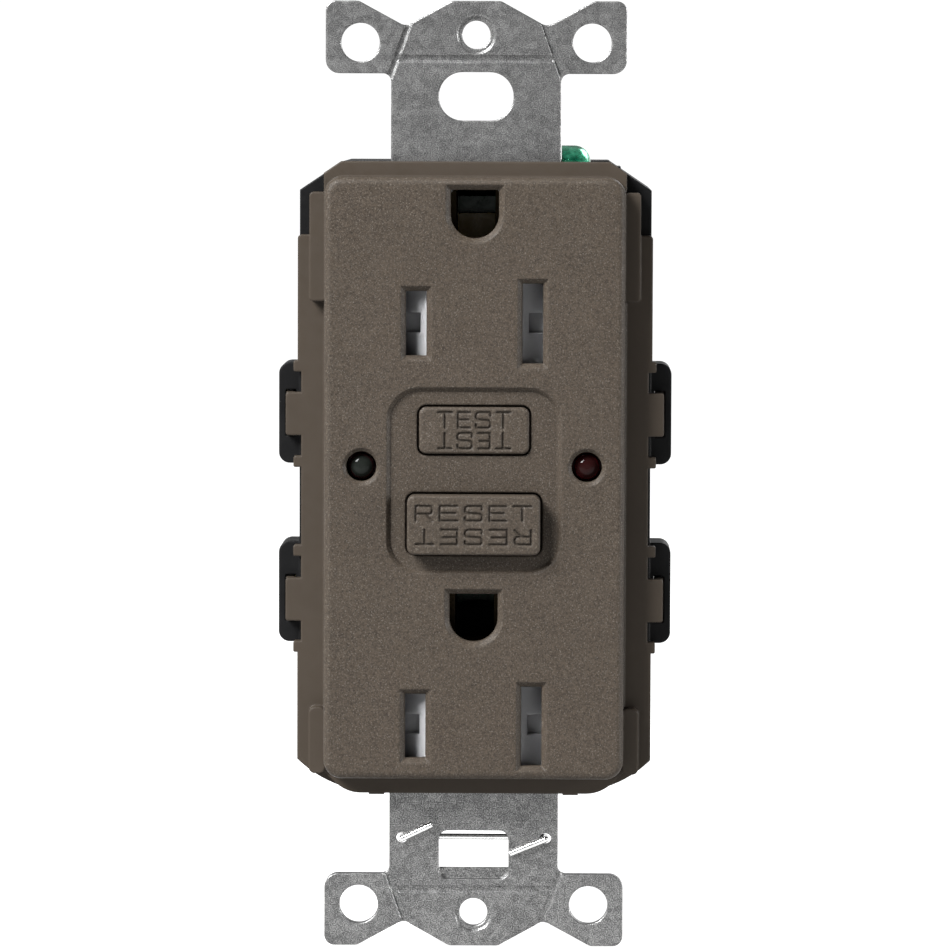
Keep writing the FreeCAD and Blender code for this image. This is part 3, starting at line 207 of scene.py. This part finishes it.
def grained_cover(name, colour):
    """Brown moulded plastic: spark-eroded grain and mica-like flecks painted lighter as glints on its face,
    smooth side bands.
    """
    paint = Paint(name, Specular_IOR_Level=0.13)
    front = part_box("front_cover")[0].y
    back_edge, front_edge = front + 0.9 * MM, front + 0.5 * MM
    face = paint.remap(paint.axis("Y"), back_edge, front_edge, 0.0, 1.0, smooth=True)
    grain = paint.noise(0.19, 2, 0.7)
    flow = paint.noise(6.0, 2)
    # Painted highlight: flecks painted lighter stand for the glints of mica-like sparkle; they are also
    # glossier.
    glint_flecks = paint.remap(paint.noise(0.16, 2, 0.7), 0.57, 0.68, 0.0, 1.0, smooth=True)
    pitted = paint.noise(0.24, 2, 0.7, paint.stretched(1, 1, 1.13))
    pits = paint.remap(pitted, 0.4, 0.32, 0.0, 1.0, smooth=True)
    shade = paint.math("MULTIPLY_ADD", paint.math("SUBTRACT", flow, 0.5), FLOW_CONTRAST, 1.0)
    face_grain = paint.math("MULTIPLY", paint.math("SUBTRACT", grain, 0.5), face)
    shade = paint.math("MULTIPLY_ADD", face_grain, GRAIN_CONTRAST, shade)
    base = paint.brightness(colour, shade)
    base = paint.mix(paint.math("MULTIPLY", glint_flecks, paint.math("MULTIPLY", face, FLECK_GLINT_SHARE)), base, FLECK_GLINT)
    base = paint.mix(paint.math("MULTIPLY", pits, paint.math("MULTIPLY", face, PIT_AND_GROOVE_SHADE_SHARE)), base, PIT_AND_GROOVE_SHADE)
    # Painted shade: groove floors on the caps darken towards the pit colour as deep as they lie.
    groove = paint.node("ShaderNodeAttribute", attribute_name="groove").outputs["Fac"]
    base = paint.mix(paint.math("MULTIPLY", groove, PIT_AND_GROOVE_SHADE_SHARE), base, PIT_AND_GROOVE_SHADE)
    paint.link("Base Color", base)
    uneven = paint.remap(paint.noise(0.9, 3), 0.3, 0.7, 0.44, 0.6)
    paint.link("Roughness", paint.math("MULTIPLY_ADD", glint_flecks, -0.16, uneven))
    paint.bump(paint.math("MULTIPLY", grain, paint.remap(face, 0, 1, 0.12, 1)), 0.026, 0.3)
    return paint.material


def galvanised(name):
    """Zinc-plated sheet: salt-and-pepper grain, faint spangle and pale handling marks."""
    paint = Paint(name, Metallic=1.0)
    salt = paint.noise(0.13, 1, 0.8)
    cloud = paint.noise(3.0, 3)
    spangle = paint.cells(0.55)
    tone = paint.math("MULTIPLY_ADD", salt, 0.82, paint.math("MULTIPLY", cloud, 0.1))
    tone = paint.math("MULTIPLY_ADD", spangle, 0.08, tone)
    dark, middle, pale = (0.035, 0.035, 0.035), (0.135, 0.135, 0.135), (0.33, 0.33, 0.325)
    base = paint.ramp(tone, (0.32, dark), (0.5, middle), (0.68, pale))
    streaks = paint.noise(0.5, 4, 0.7, paint.stretched(1, 1, 0.12))
    scratch = paint.remap(streaks, 0.68, 0.76, 0.0, 0.5, smooth=True)
    paint.link("Base Color", paint.mix(scratch, base, (0.42, 0.42, 0.41)))
    paint.link("Roughness", paint.remap(salt, 0.3, 0.7, 0.52, 0.34))
    paint.bump(salt, 0.008, 0.3)
    return paint.material


def lens(name, body, ring, centre, radius):
    """A dark glossy dome in which a ring of its tint shows near the rim."""
    paint = Paint(name, Roughness=0.08, Specular_IOR_Level=0.08)
    kind = "ShaderNodeVectorMath"
    offset = paint.node(kind, {0: paint.place, 1: centre}, operation="SUBTRACT").outputs[0]
    flat = paint.node(kind, {0: offset, 1: (1, 0, 1)}, operation="MULTIPLY").outputs[0]
    across = paint.node(kind, {0: flat}, operation="LENGTH").outputs["Value"]
    reach = paint.math("DIVIDE", across, radius)
    haze = paint.math("MULTIPLY_ADD", paint.math("SUBTRACT", paint.noise(0.35, 3), 0.5), 0.12, reach)
    paint.link("Base Color", paint.ramp(haze, (0.0, body), (0.6, body), (0.82, ring), (1.0, ring)))
    paint.bump(paint.noise(0.6, 2), 0.002)
    return paint.material


# --- Colours and the material of each slot -----------------------------------------------------------

# Linear colours of the cover, its caps, the lighter flecks painted as their sparkle glints, and their pits
# and the painted shade in their grooves.
BROWN = (0.0255, 0.0198, 0.0147)
CAP_BROWN = (0.0265, 0.0207, 0.0155)
FLECK_GLINT = (0.1, 0.09, 0.078)
PIT_AND_GROOVE_SHADE = (0.008, 0.006, 0.0045)

# How strongly the cover's flow marks and grain change its shade, and its painted glint flecks, its pits and
# the painted groove shade its colour.
FLOW_CONTRAST = 0.22
GRAIN_CONTRAST = 2.2
FLECK_GLINT_SHARE = 0.5
PIT_AND_GROOVE_SHADE_SHARE = 0.45

# Millimetres: the radius that edges of bare metal shade with, and the pitch of the coil's wire.
METAL_EDGE = 0.05
WIRE_PITCH = 0.16


def lamp_lens(node, name, body, ring):
    low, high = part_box(node)
    return lens(name, body, ring, centre=(low + high) / 2, radius=(high.x - low.x) / 2)


SLOTS = {
    "strap_steel": galvanised("galvanised strap"),
    "spring_steel": metal(
        "bright spring wire", dark=(0.5, 0.5, 0.5), light=(0.86, 0.86, 0.85),
        grain=0.15, rough=(0.08, 0.2), relief=0.001),
    "contact_brass": metal(
        "dull brass", dark=(0.16, 0.1, 0.035), light=(0.34, 0.23, 0.1),
        grain=0.4, rough=(0.3, 0.45), relief=0.002, streak=(1, 1, 0.1)),
    "screw_brass": metal(
        "brass screw", dark=(0.2, 0.135, 0.045), light=(0.4, 0.29, 0.12),
        grain=0.25, rough=(0.38, 0.55), relief=0.003),
    "terminal_silver": metal(
        "nickel plate", dark=(0.13, 0.13, 0.125), light=(0.33, 0.325, 0.315),
        grain=0.25, rough=(0.46, 0.62), relief=0.004),
    "contact_silver": metal(
        "contact silver", dark=(0.6, 0.6, 0.58), light=(0.88, 0.87, 0.84),
        grain=0.2, rough=(0.15, 0.3), relief=0.002),
    "cover_plastic": grained_cover("grained cover plastic", BROWN),
    "button_plastic": grained_cover("grained button plastic", CAP_BROWN),
    "black_plastic": moulded(
        "black moulded plastic", (0.003, 0.003, 0.0032), grain=0.3, relief=0.006,
        rough=(0.42, 0.55), mottle=0.2, specular=0.08, rounded=0.3),
    "frame_plastic": moulded("ivory moulded plastic", (0.52, 0.49, 0.42), grain=0.3, relief=0.005),
    "shutter_plastic": moulded(
        "grey shutter plastic", (0.2, 0.2, 0.205), grain=0.3, relief=0.003,
        rough=(0.45, 0.6), mottle=0.08, specular=0.25,
        Subsurface_Weight=0.9, Subsurface_Radius=(1, 1, 1), Subsurface_Scale=4 * MM),
    "board_green": moulded(
        "green solder mask", (0.02, 0.15, 0.05), grain=0.5, relief=0.003,
        rough=(0.18, 0.32), mottle=0.15, specular=0.5),
    "varistor_blue": moulded(
        "blue epoxy", (0.03, 0.1, 0.38), grain=0.8, relief=0.02,
        rough=(0.16, 0.3), mottle=0.1, specular=0.5),
    "capacitor_yellow": moulded(
        "yellow film box", (0.62, 0.4, 0.05), grain=0.6, relief=0.005,
        rough=(0.22, 0.36), mottle=0.08, specular=0.5),
    "resistor_tan": moulded(
        "tan lacquer", (0.52, 0.37, 0.2), grain=0.5, relief=0.01,
        rough=(0.22, 0.36), mottle=0.1, specular=0.5),
    "core_grey": moulded(
        "grey ferrite coating", (0.1, 0.1, 0.105), grain=0.3, relief=0.02,
        rough=(0.45, 0.65), mottle=0.2, specular=0.4),
    "dark_lens": lamp_lens("status_led", "dark lamp lens", (0.006, 0.007, 0.006), (0.03, 0.003, 0.005)),
    "red_lens": lamp_lens("fault_led", "red lamp lens", (0.008, 0.002, 0.002), (0.06, 0.003, 0.006)),
}


def copper_winding():
    """Enamelled copper wire, whose turns show along the coil's height as bumps and as painted shade in the
    creases between them.
    """
    paint = Paint("enamelled copper winding", Metallic=1.0, Coat_Weight=0.6, Coat_Roughness=0.12)
    turn = paint.math("SINE", paint.math("MULTIPLY", paint.axis("Z"), 2 * math.pi / (WIRE_PITCH * MM)))
    turn = paint.remap(turn, -1, 1, 0, 1)
    shade = paint.math("MULTIPLY_ADD", paint.noise(0.8, 3), 0.4, paint.math("MULTIPLY", turn, 0.6))
    # Painted shade: the colour darkens in the creases between turns and is lightest on their crowns.
    paint.link("Base Color", paint.ramp(shade, (0.1, (0.2, 0.06, 0.02)), (0.8, (0.75, 0.36, 0.18))))
    paint.link("Roughness", paint.remap(turn, 0, 1, 0.45, 0.25))
    paint.bump(turn, 0.05)
    return paint.material


def dyed_green():
    """Green dyed zinc: glossy, with the metal's brightness under a patchy dye."""
    paint = Paint("green dyed screw", Metallic=0.85, Coat_Weight=0.5, Coat_Roughness=0.08)
    cloud = paint.noise(0.9, 4, 0.65)
    paint.link("Base Color", paint.ramp(
        cloud, (0.32, (0.0, 0.11, 0.05)), (0.5, (0.015, 0.38, 0.2)), (0.68, (0.1, 0.66, 0.38))))
    paint.link("Roughness", paint.remap(paint.noise(0.3, 3), 0.3, 0.7, 0.14, 0.34))
    paint.bump(paint.noise(0.25, 3), 0.004, 0.4)
    return paint.material


SLOTS["coil_copper"] = copper_winding()
SLOTS["ground_green"] = dyed_green()


for node in frame["nodes"].values():
    names = [material.name for material in node.data.materials]
    for index, name in enumerate(names):
        node.data.materials[index] = SLOTS[name.split(".")[0]]

# These two nodes are darker than the other pieces of their slot: the case screws are duller zinc, and the
# ground contacts are near black as painted shade, deep in the ground holes.
DULLER_AND_PAINTED_SHADE = {
    "case_screws": metal(
        "zinc screw", dark=(0.1, 0.1, 0.1), light=(0.3, 0.3, 0.29),
        grain=0.2, rough=(0.42, 0.6), relief=0.006),
    # Painted shade: the brass ground contacts are coloured near black, as the ground holes are in shade.
    "ground_contacts": metal(
        "bronze darkened as painted shade", dark=(0.01, 0.008, 0.005), light=(0.035, 0.026, 0.015),
        grain=0.4, rough=(0.4, 0.6), relief=0.002),
}
for name, material in DULLER_AND_PAINTED_SHADE.items():
    frame["nodes"][name].data.materials[0] = material


# --- Pieces that stand for a CAD node -----------------------------------------------------------------

# Metres: points of a CAD mesh that are nearer than this are one point.
WELD = 1e-7


def opened_copy(node):
    """A copy of a CAD node's mesh without its fixed normals, and the welded bmesh to work on."""
    mesh = frame["nodes"][node].data.copy()
    mesh.attributes.remove(mesh.attributes["custom_normal"])
    work = bmesh.new()
    work.from_mesh(mesh)
    bmesh.ops.remove_doubles(work, verts=work.verts, dist=WELD)
    return mesh, work


def stand_in(node, name, mesh, work, sharp):
    """The finished piece in place of the CAD node, smooth up to edges of sharp degrees."""
    bmesh.ops.recalc_face_normals(work, faces=work.faces)
    for face in work.faces:
        face.smooth = True
    work.to_mesh(mesh)
    work.free()
    mesh.set_sharp_from_angle(angle=math.radians(sharp))
    piece = bpy.data.objects.new(name, mesh)
    bpy.context.scene.collection.objects.link(piece)
    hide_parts(node)
    return piece


# --- Engraved push buttons ----------------------------------------------------------------------------

# Millimetres: a groove's width at the surface, its depth, and how far each side slopes in.
STROKE = 0.36
GROOVE = 0.2
GROOVE_SIDE = 0.14

# A corner's curve begins this many times its number away from it, and has this many straight runs.
CORNER_REACH = 1.6
CORNER_STEPS = 6

# Strokes of each capital in a box 1 wide and 1 high; a number after a point rounds that corner.
CAPITALS = {
    "T": [[(0, 1), (1, 1)], [(0.5, 1), (0.5, 0)]],
    "E": [[(1, 1), (0, 1), (0, 0), (1, 0)], [(0, 0.52), (0.88, 0.52)]],
    "S": [[(1, 0.78), (1, 1, 0.24), (0, 1, 0.25), (0, 0.53, 0.23),
           (1, 0.47, 0.23), (1, 0, 0.25), (0, 0, 0.24), (0, 0.22)]],
    "R": [[(0, 0), (0, 1), (1, 1, 0.25), (1, 0.46, 0.25), (0, 0.46)], [(0.58, 0.46), (1, 0)]],
}


def rounded_path(points, width, height):
    """The points in millimetres, with each numbered corner replaced by a short curve."""
    scaled = [Vector((p[0] * width, p[1] * height)) for p in points]
    path = [scaled[0]]
    for before, corner, after, point in zip(scaled, scaled[1:], scaled[2:], points[1:]):
        if len(point) < 3:
            path.append(corner)
            continue
        longest = min((before - corner).length, (after - corner).length) / 2
        reach = min(point[2] * height * CORNER_REACH, longest)
        start = corner + (before - corner).normalized() * reach
        end = corner + (after - corner).normalized() * reach
        for step in range(CORNER_STEPS + 1):
            t = step / CORNER_STEPS
            path.append((1 - t) ** 2 * start + 2 * t * (1 - t) * corner + t * t * end)
    return path + [scaled[-1]]


def word_strokes(word, widths, height, spacing, shift):
    """Straight pieces of a word's strokes, its middle moved up by shift, and a copy turned half round."""
    total = sum(widths) + spacing * (len(word) - 1)
    x = -total / 2
    pieces = []
    for letter, width in zip(word, widths):
        for stroke in CAPITALS[letter]:
            corner = Vector((x, shift - height / 2))
            path = [point + corner for point in rounded_path(stroke, width, height)]
            pieces += [pair for pair in zip(path, path[1:]) if (pair[1] - pair[0]).length > 0.001]
        x += width + spacing
    return pieces + [(-start, -end) for start, end in pieces]


def capsule(start, end, radius, steps=5):
    """Outline of a stroke piece with round ends."""
    along = (end - start).normalized()
    outline = []
    for centre, turn in ((start, math.pi / 2), (end, -math.pi / 2)):
        base = math.atan2(along.y, along.x) + turn
        for step in range(steps + 1):
            angle = base + math.pi * step / steps
            outline.append(centre + radius * Vector((math.cos(angle), math.sin(angle))))
    return outline


def distance(point, start, end):
    """From the point to the nearest place between start and end."""
    run = end - start
    t = max(0.0, min(1.0, (point - start).dot(run) / run.length_squared))
    return (point - start - t * run).length


def ordered(edges):
    """Vertices of a closed loop of edges, in order."""
    first, *left = edges
    loop = list(first.verts)
    while left:
        following = next(e for e in left if loop[-1] in e.verts)
        left.remove(following)
        loop.append(following.other_vert(loop[-1]))
    return loop[:-1]


def engraved_cap(node, strokes):
    """A copy of a CAD button whose flat front carries grooves with sloping sides along the strokes, their
    depth kept for painted shade.
    """
    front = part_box(node)[0].y
    mesh, work = opened_copy(node)
    # Each new point keeps how far down its groove it lies, which the cover material reads to paint shade
    # there.
    groove_shade_layer = work.verts.layers.float.new("groove")
    flat = [f for f in work.faces if all(abs(v.co.y - front) < WELD for v in f.verts)]
    loop = ordered([e for e in work.edges if sum(near in flat for near in e.link_faces) == 1])
    centre_z = (min(v.co.z for v in loop) + max(v.co.z for v in loop)) / 2
    bmesh.ops.delete(work, geom=flat, context="FACES_KEEP_BOUNDARY")

    points = [Vector((v.co.x, v.co.z - centre_z)) / MM for v in loop]
    outlines = [list(range(len(points)))]
    for radius in (STROKE / 2, STROKE / 2 - GROOVE_SIDE):
        for start, end in strokes:
            outline = capsule(start, end, radius)
            outlines.append(list(range(len(points), len(points) + len(outline))))
            points += outline
    flat_points, _, faces, origins, _, _ = geometry.delaunay_2d_cdt(points, [], outlines, 1, 1e-5)
    verts = []
    for point, sources in zip(flat_points, origins):
        on_rim = [loop[i] for i in sources if i < len(loop)]
        if on_rim:
            verts.append(on_rim[0])
            continue
        near = min(distance(point, *stroke) for stroke in strokes)
        share = max(0.0, min(1.0, (STROKE / 2 - near) / GROOVE_SIDE))
        verts.append(work.verts.new((point.x * MM, front + GROOVE * share * MM, point.y * MM + centre_z)))
        verts[-1][groove_shade_layer] = share
    for face in faces:
        work.faces.new([verts[i] for i in face])
    cap = stand_in(node, f"{node}_engraved", mesh, work, sharp=32)
    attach(cap, node)


engraved_cap("test_button", word_strokes(
    "TEST", widths=(1.53, 1.28, 1.59, 1.47), height=1.69, spacing=0.66, shift=1.135))
engraved_cap("reset_button", word_strokes(
    "RESET", widths=(1.78, 1.91, 1.85, 1.78, 1.91), height=1.59, spacing=0.83, shift=1.29))


# --- Springs that shorten as their joint moves --------------------------------------------------------

# Millimetres: points this near to a cut move onto it.
CUT_SNAP = 0.01


def cut_off(work, place, normal):
    """Removes what lies past a plane, and closes the cut."""
    whole = work.verts[:] + work.edges[:] + work.faces[:]
    cut = bmesh.ops.bisect_plane(
        work, geom=whole, dist=CUT_SNAP * MM, plane_co=place, plane_no=normal, clear_outer=True)
    rim = [part for part in cut["geom_cut"] if isinstance(part, bmesh.types.BMEdge)]
    bmesh.ops.holes_fill(work, edges=rim)


def pressed_spring(joint, node, axis, fixed):
    """A copy of the CAD spring, up to the fixed end or middle that the joint presses it against."""
    along = Vector([float(name == axis) for name in "xyz"])
    push = Vector(joint["axis"]).dot(along)
    ends = [corner.dot(along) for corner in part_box(node)]
    length = abs((ends[0] if push > 0 else ends[1]) - fixed)
    travel = joint["range_m"][1]
    if length < travel:
        return  # this joint stretches the spring, so the CAD's own stays
    mesh, work = opened_copy(node)
    if ends[0] < fixed - travel and ends[1] > fixed + travel:
        cut_off(work, fixed * along, push * along)
    spring = stand_in(node, f"{node}_of_{joint['name']}", mesh, work, sharp=40)
    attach(spring, joint["parent"])
    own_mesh(spring)


for joint in frame["record"]["behaviour"]["joints"]:
    for entry in joint.get("deforming_nodes", ()):
        axis = entry["mode"][-1]
        pressed_spring(joint, entry["node"], axis, entry[f"fixed_end_{axis}_m"])


# --- Floor, light and camera -------------------------------------------------------------------------


def studio_floor():
    """Pale glowing floor just under the strap, dimmer in front, where it would fill the shadows."""
    half = FLOOR_WIDTH / 2
    level = cad_low.z - 0.2 * MM
    mesh = bpy.data.meshes.new("floor")
    corners = [(-half, -half, level), (half, -half, level), (half, half, level), (-half, half, level)]
    mesh.from_pydata(corners, [], [(0, 1, 2, 3)])
    floor = bpy.data.objects.new("floor", mesh)
    bpy.context.scene.collection.objects.link(floor)
    paint = Paint("pale floor", Roughness=0.9, Specular_IOR_Level=0.1)
    paint.shader.inputs["Emission Color"].default_value = (1, 1, 1, 1)
    glow = paint.remap(paint.axis("Y"), -0.35, -0.03, FLOOR_FRONT, 0.97, smooth=True)
    paint.link("Emission Strength", glow)
    cloud = paint.remap(paint.noise(60, 2), 0, 1, 0.98, 1.02)
    paint.link("Base Color", paint.brightness((0.2, 0.2, 0.2), cloud))
    mesh.materials.append(paint.material)


def studio_world():
    """White low down, dark in a belt above that and grey overhead, and all of it dimmer in front."""
    world = bpy.data.worlds.new("studio")
    world.use_nodes = True
    tree = world.node_tree
    direction = tree.nodes.new("ShaderNodeTexCoord").outputs["Generated"]
    parts = tree.nodes.new("ShaderNodeSeparateXYZ")
    tree.links.new(direction, parts.inputs[0])
    belt = tree.nodes.new("ShaderNodeValToRGB")
    tree.links.new(parts.outputs["Z"], belt.inputs["Fac"])
    front = tree.nodes.new("ShaderNodeMapRange")
    tree.links.new(parts.outputs["Y"], front.inputs["Value"])
    for name, value in (("From Min", -0.6), ("From Max", 0.0), ("To Min", WORLD_FRONT), ("To Max", 1.0)):
        front.inputs[name].default_value = value
    stops = (
        (0.0, WORLD_LOW), (0.14, WORLD_LOW),
        (0.24, WORLD_BELT), (0.42, WORLD_BELT),
        (0.62, WORLD_TOP), (1.0, WORLD_TOP),
    )
    elements = belt.color_ramp.elements
    while len(elements) < len(stops):
        elements.new(0.5)
    for element, (position, level) in zip(elements, stops):
        element.position = position
        element.color = (level, level, level, 1)
    background = tree.nodes["Background"]
    tree.links.new(belt.outputs["Color"], background.inputs["Color"])
    tree.links.new(front.outputs["Result"], background.inputs["Strength"])
    bpy.context.scene.world = world


def softbox(name, place, size, power, spread):
    """A square area light that faces the outlet."""
    light = bpy.data.lights.new(name, "AREA")
    light.shape = "SQUARE"
    light.size = size
    light.energy = power
    light.spread = math.radians(spread)
    lamp = bpy.data.objects.new(name, light)
    lamp.location = place
    lamp.rotation_mode = "QUATERNION"
    lamp.rotation_quaternion = (-Vector(place)).to_track_quat("-Z", "Y")
    bpy.context.scene.collection.objects.link(lamp)


def camera(distance, azimuth, elevation, roll, focal):
    """Looks at the middle of the strap from the front, a little above and a little from the right."""
    a, e = math.radians(azimuth), math.radians(elevation)
    back = Vector((math.sin(a) * math.cos(e), -math.cos(a) * math.cos(e), math.sin(e)))
    data = bpy.data.cameras.new("camera")
    data.sensor_width = 36
    data.lens = focal
    data.clip_start, data.clip_end = 0.01, 20
    eye = bpy.data.objects.new("camera", data)
    eye.location = back * distance
    eye.rotation_mode = "QUATERNION"
    eye.rotation_quaternion = (-back).to_track_quat("-Z", "Y") @ Quaternion((0, 0, 1), math.radians(roll))
    bpy.context.scene.collection.objects.link(eye)
    bpy.context.scene.camera = eye


FLOOR_WIDTH = 8.0

# Levels of the world low down, in the belt above it and overhead, and the share of the world's light and
# of the floor's that is left in front of the outlet.
WORLD_LOW = 1.05
WORLD_BELT = 0.16
WORLD_TOP = 0.4
WORLD_FRONT = 0.3
FLOOR_FRONT = 0.5

studio_floor()
studio_world()
softbox("key softbox", place=(-0.54, -0.5, 0.6), size=0.44, power=10.2, spread=80)
softbox("right fill", place=(0.85, -0.2, 0.15), size=0.3, power=3.9, spread=120)
softbox("rear light", place=(0.5, 0.75, 0.55), size=0.4, power=1.2, spread=90)
camera(distance=0.62, azimuth=0.9, elevation=3.85, roll=0.2, focal=213)
bpy.context.scene.view_settings.view_transform = "Standard"
